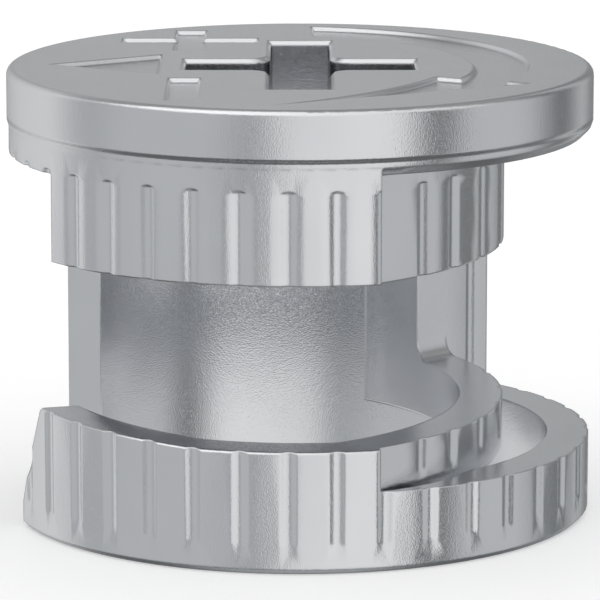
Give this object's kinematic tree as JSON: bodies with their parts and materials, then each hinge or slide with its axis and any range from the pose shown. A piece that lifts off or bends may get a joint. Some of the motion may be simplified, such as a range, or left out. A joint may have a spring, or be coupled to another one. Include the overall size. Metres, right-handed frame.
{
  "type": "furniture cam lock housing",
  "caption": "Round cam lock housing for knock-down furniture, with a cross driver recess, cam arms around an open mouth and a side entry for the bolt head.",
  "frame": {"origin": "centre of the bottom face, on the cam's turning axis", "axes": "+Z along the turning axis towards the driver recess; the bolt head enters from -X, where the arrow on the top face points; the cam arms are on the +X side"},
  "size_m": [0.0148, 0.0148, 0.0115],
  "materials": {
    "zinc": "bright nickel-plated zinc die casting, with the fine grain of its cast faces"
  },
  "bodies": {
    "root": {"cam_housing": "zinc"}
  },
  "joints": []
}
